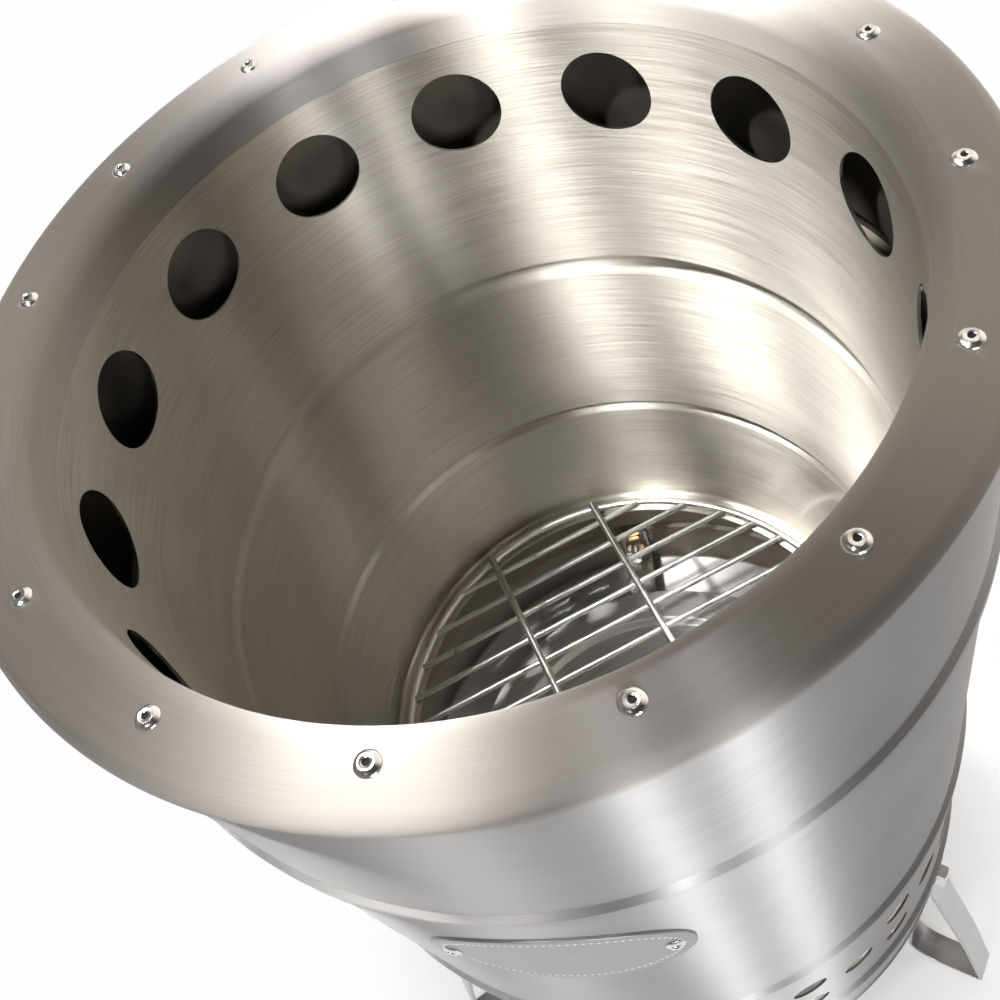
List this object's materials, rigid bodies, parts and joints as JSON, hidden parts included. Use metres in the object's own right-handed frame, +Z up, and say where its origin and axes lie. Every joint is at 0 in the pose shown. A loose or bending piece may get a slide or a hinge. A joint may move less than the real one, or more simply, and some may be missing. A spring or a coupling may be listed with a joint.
{
  "type": "fire barrel",
  "caption": "Free-standing stainless fire barrel: holed drum hung in a vented outer shell, riveted rolled rim, lift-out grate, ash plate and bent-strap feet.",
  "frame": {"origin": "on the barrel's axis, on the plane that the feet stand on", "axes": "+Z up along the barrel's axis; the name plate faces -Y"},
  "size_m": [0.4031, 0.4127, 0.7017],
  "materials": {
    "rim_steel": "satin, brushed round the ring",
    "drum_steel": "semi-gloss, brushed round the wall",
    "shell_steel": "satin, brushed round the wall",
    "rivet_steel": "polished",
    "stem_steel": "dark, broken off",
    "wire_steel": "bright drawn wire",
    "ash_steel": "semi-gloss sheet",
    "strap_steel": "smooth strip",
    "bolt_steel": "bright",
    "brass_nut": "plain",
    "plate_steel": "etched grey field with a bright border"
  },
  "bodies": {
    "barrel": {"rim_ring": "rim_steel", "drum": "drum_steel", "outer_shell": "shell_steel", "rim_rivets": "rivet_steel", "rim_rivet_stems": "stem_steel", "ash_bracket_1": "strap_steel", "ash_bracket_2": "strap_steel", "ash_bracket_3": "strap_steel", "foot_1": "strap_steel", "foot_2": "strap_steel", "foot_3": "strap_steel", "foot_bolts": "bolt_steel", "foot_nuts": "brass_nut", "foot_rivets": "rivet_steel", "foot_rivet_stems": "stem_steel", "name_plate": "plate_steel", "plate_rivets": "rivet_steel", "plate_rivet_stems": "stem_steel"},
    "grate": {"grate_ring": "wire_steel", "grate_bars": "wire_steel", "grate_cross_bars": "wire_steel"},
    "ash_plate": {"ash_plate": "ash_steel"}
  },
  "joints": [
    {"name": "grate_lift", "type": "slide", "parent": "barrel", "child": "grate", "axis": [0, 0, 1], "range_m": [0, 0.4]},
    {"name": "ash_plate_lift", "type": "slide", "parent": "barrel", "child": "ash_plate", "axis": [0, 0, 1], "range_m": [0, 0.11]}
  ]
}
